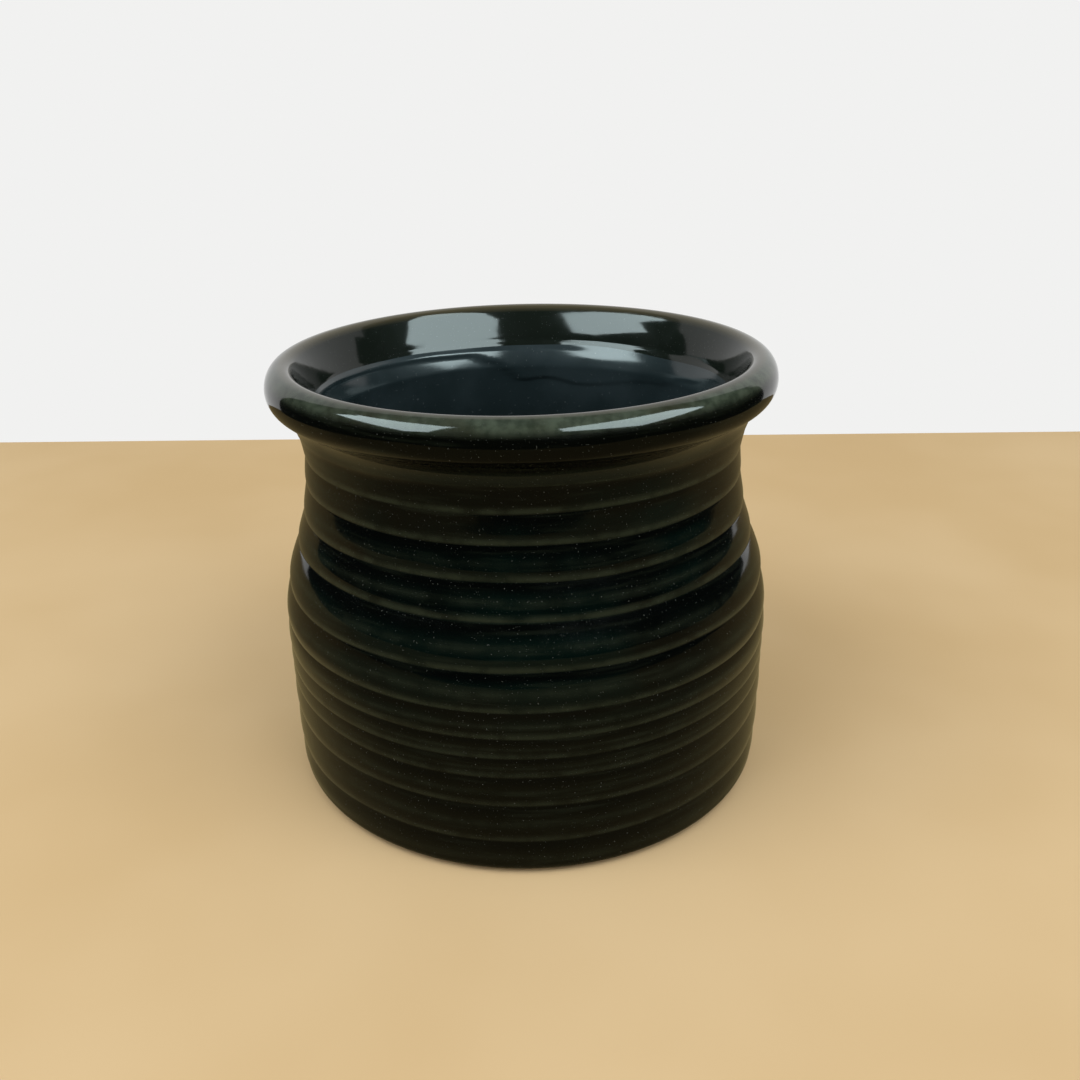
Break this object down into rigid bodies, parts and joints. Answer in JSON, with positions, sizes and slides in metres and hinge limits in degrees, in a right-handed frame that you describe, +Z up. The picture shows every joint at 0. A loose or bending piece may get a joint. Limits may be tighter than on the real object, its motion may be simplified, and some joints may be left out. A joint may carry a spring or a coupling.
{
  "type": "ceramic planter",
  "caption": "Wheel-thrown stoneware planter with a rolled rim, drawn-in neck, banded barrel belly, glossy bottle-green glaze and a lift-out drain plug.",
  "frame": {"origin": "centre of the foot ring's underside, where the pot stands on the table", "axes": "+Z up along the axis the pot was thrown about, +X to the right and -Y towards the viewer of the picture"},
  "size_m": [0.152, 0.152, 0.132],
  "materials": {
    "bare_stoneware": "bare fired stoneware, matt and slightly sandy",
    "bottle_green_glaze": "glossy bottle-green to black glaze, paler where it runs thin",
    "slate_blue_glaze": "glossy slate blue-black liner glaze",
    "plug_rubber": "soft moulded rubber, satin"
  },
  "bodies": {
    "pot": {"clay_body": "bare_stoneware", "outer_glaze": "bottle_green_glaze", "liner_glaze": "slate_blue_glaze"},
    "plug": {"drain_plug": "plug_rubber"}
  },
  "joints": [
    {"name": "drain_plug_lift", "type": "slide", "parent": "pot", "child": "plug", "axis": [0, 0, 1], "range_m": [0, 0.14]}
  ]
}
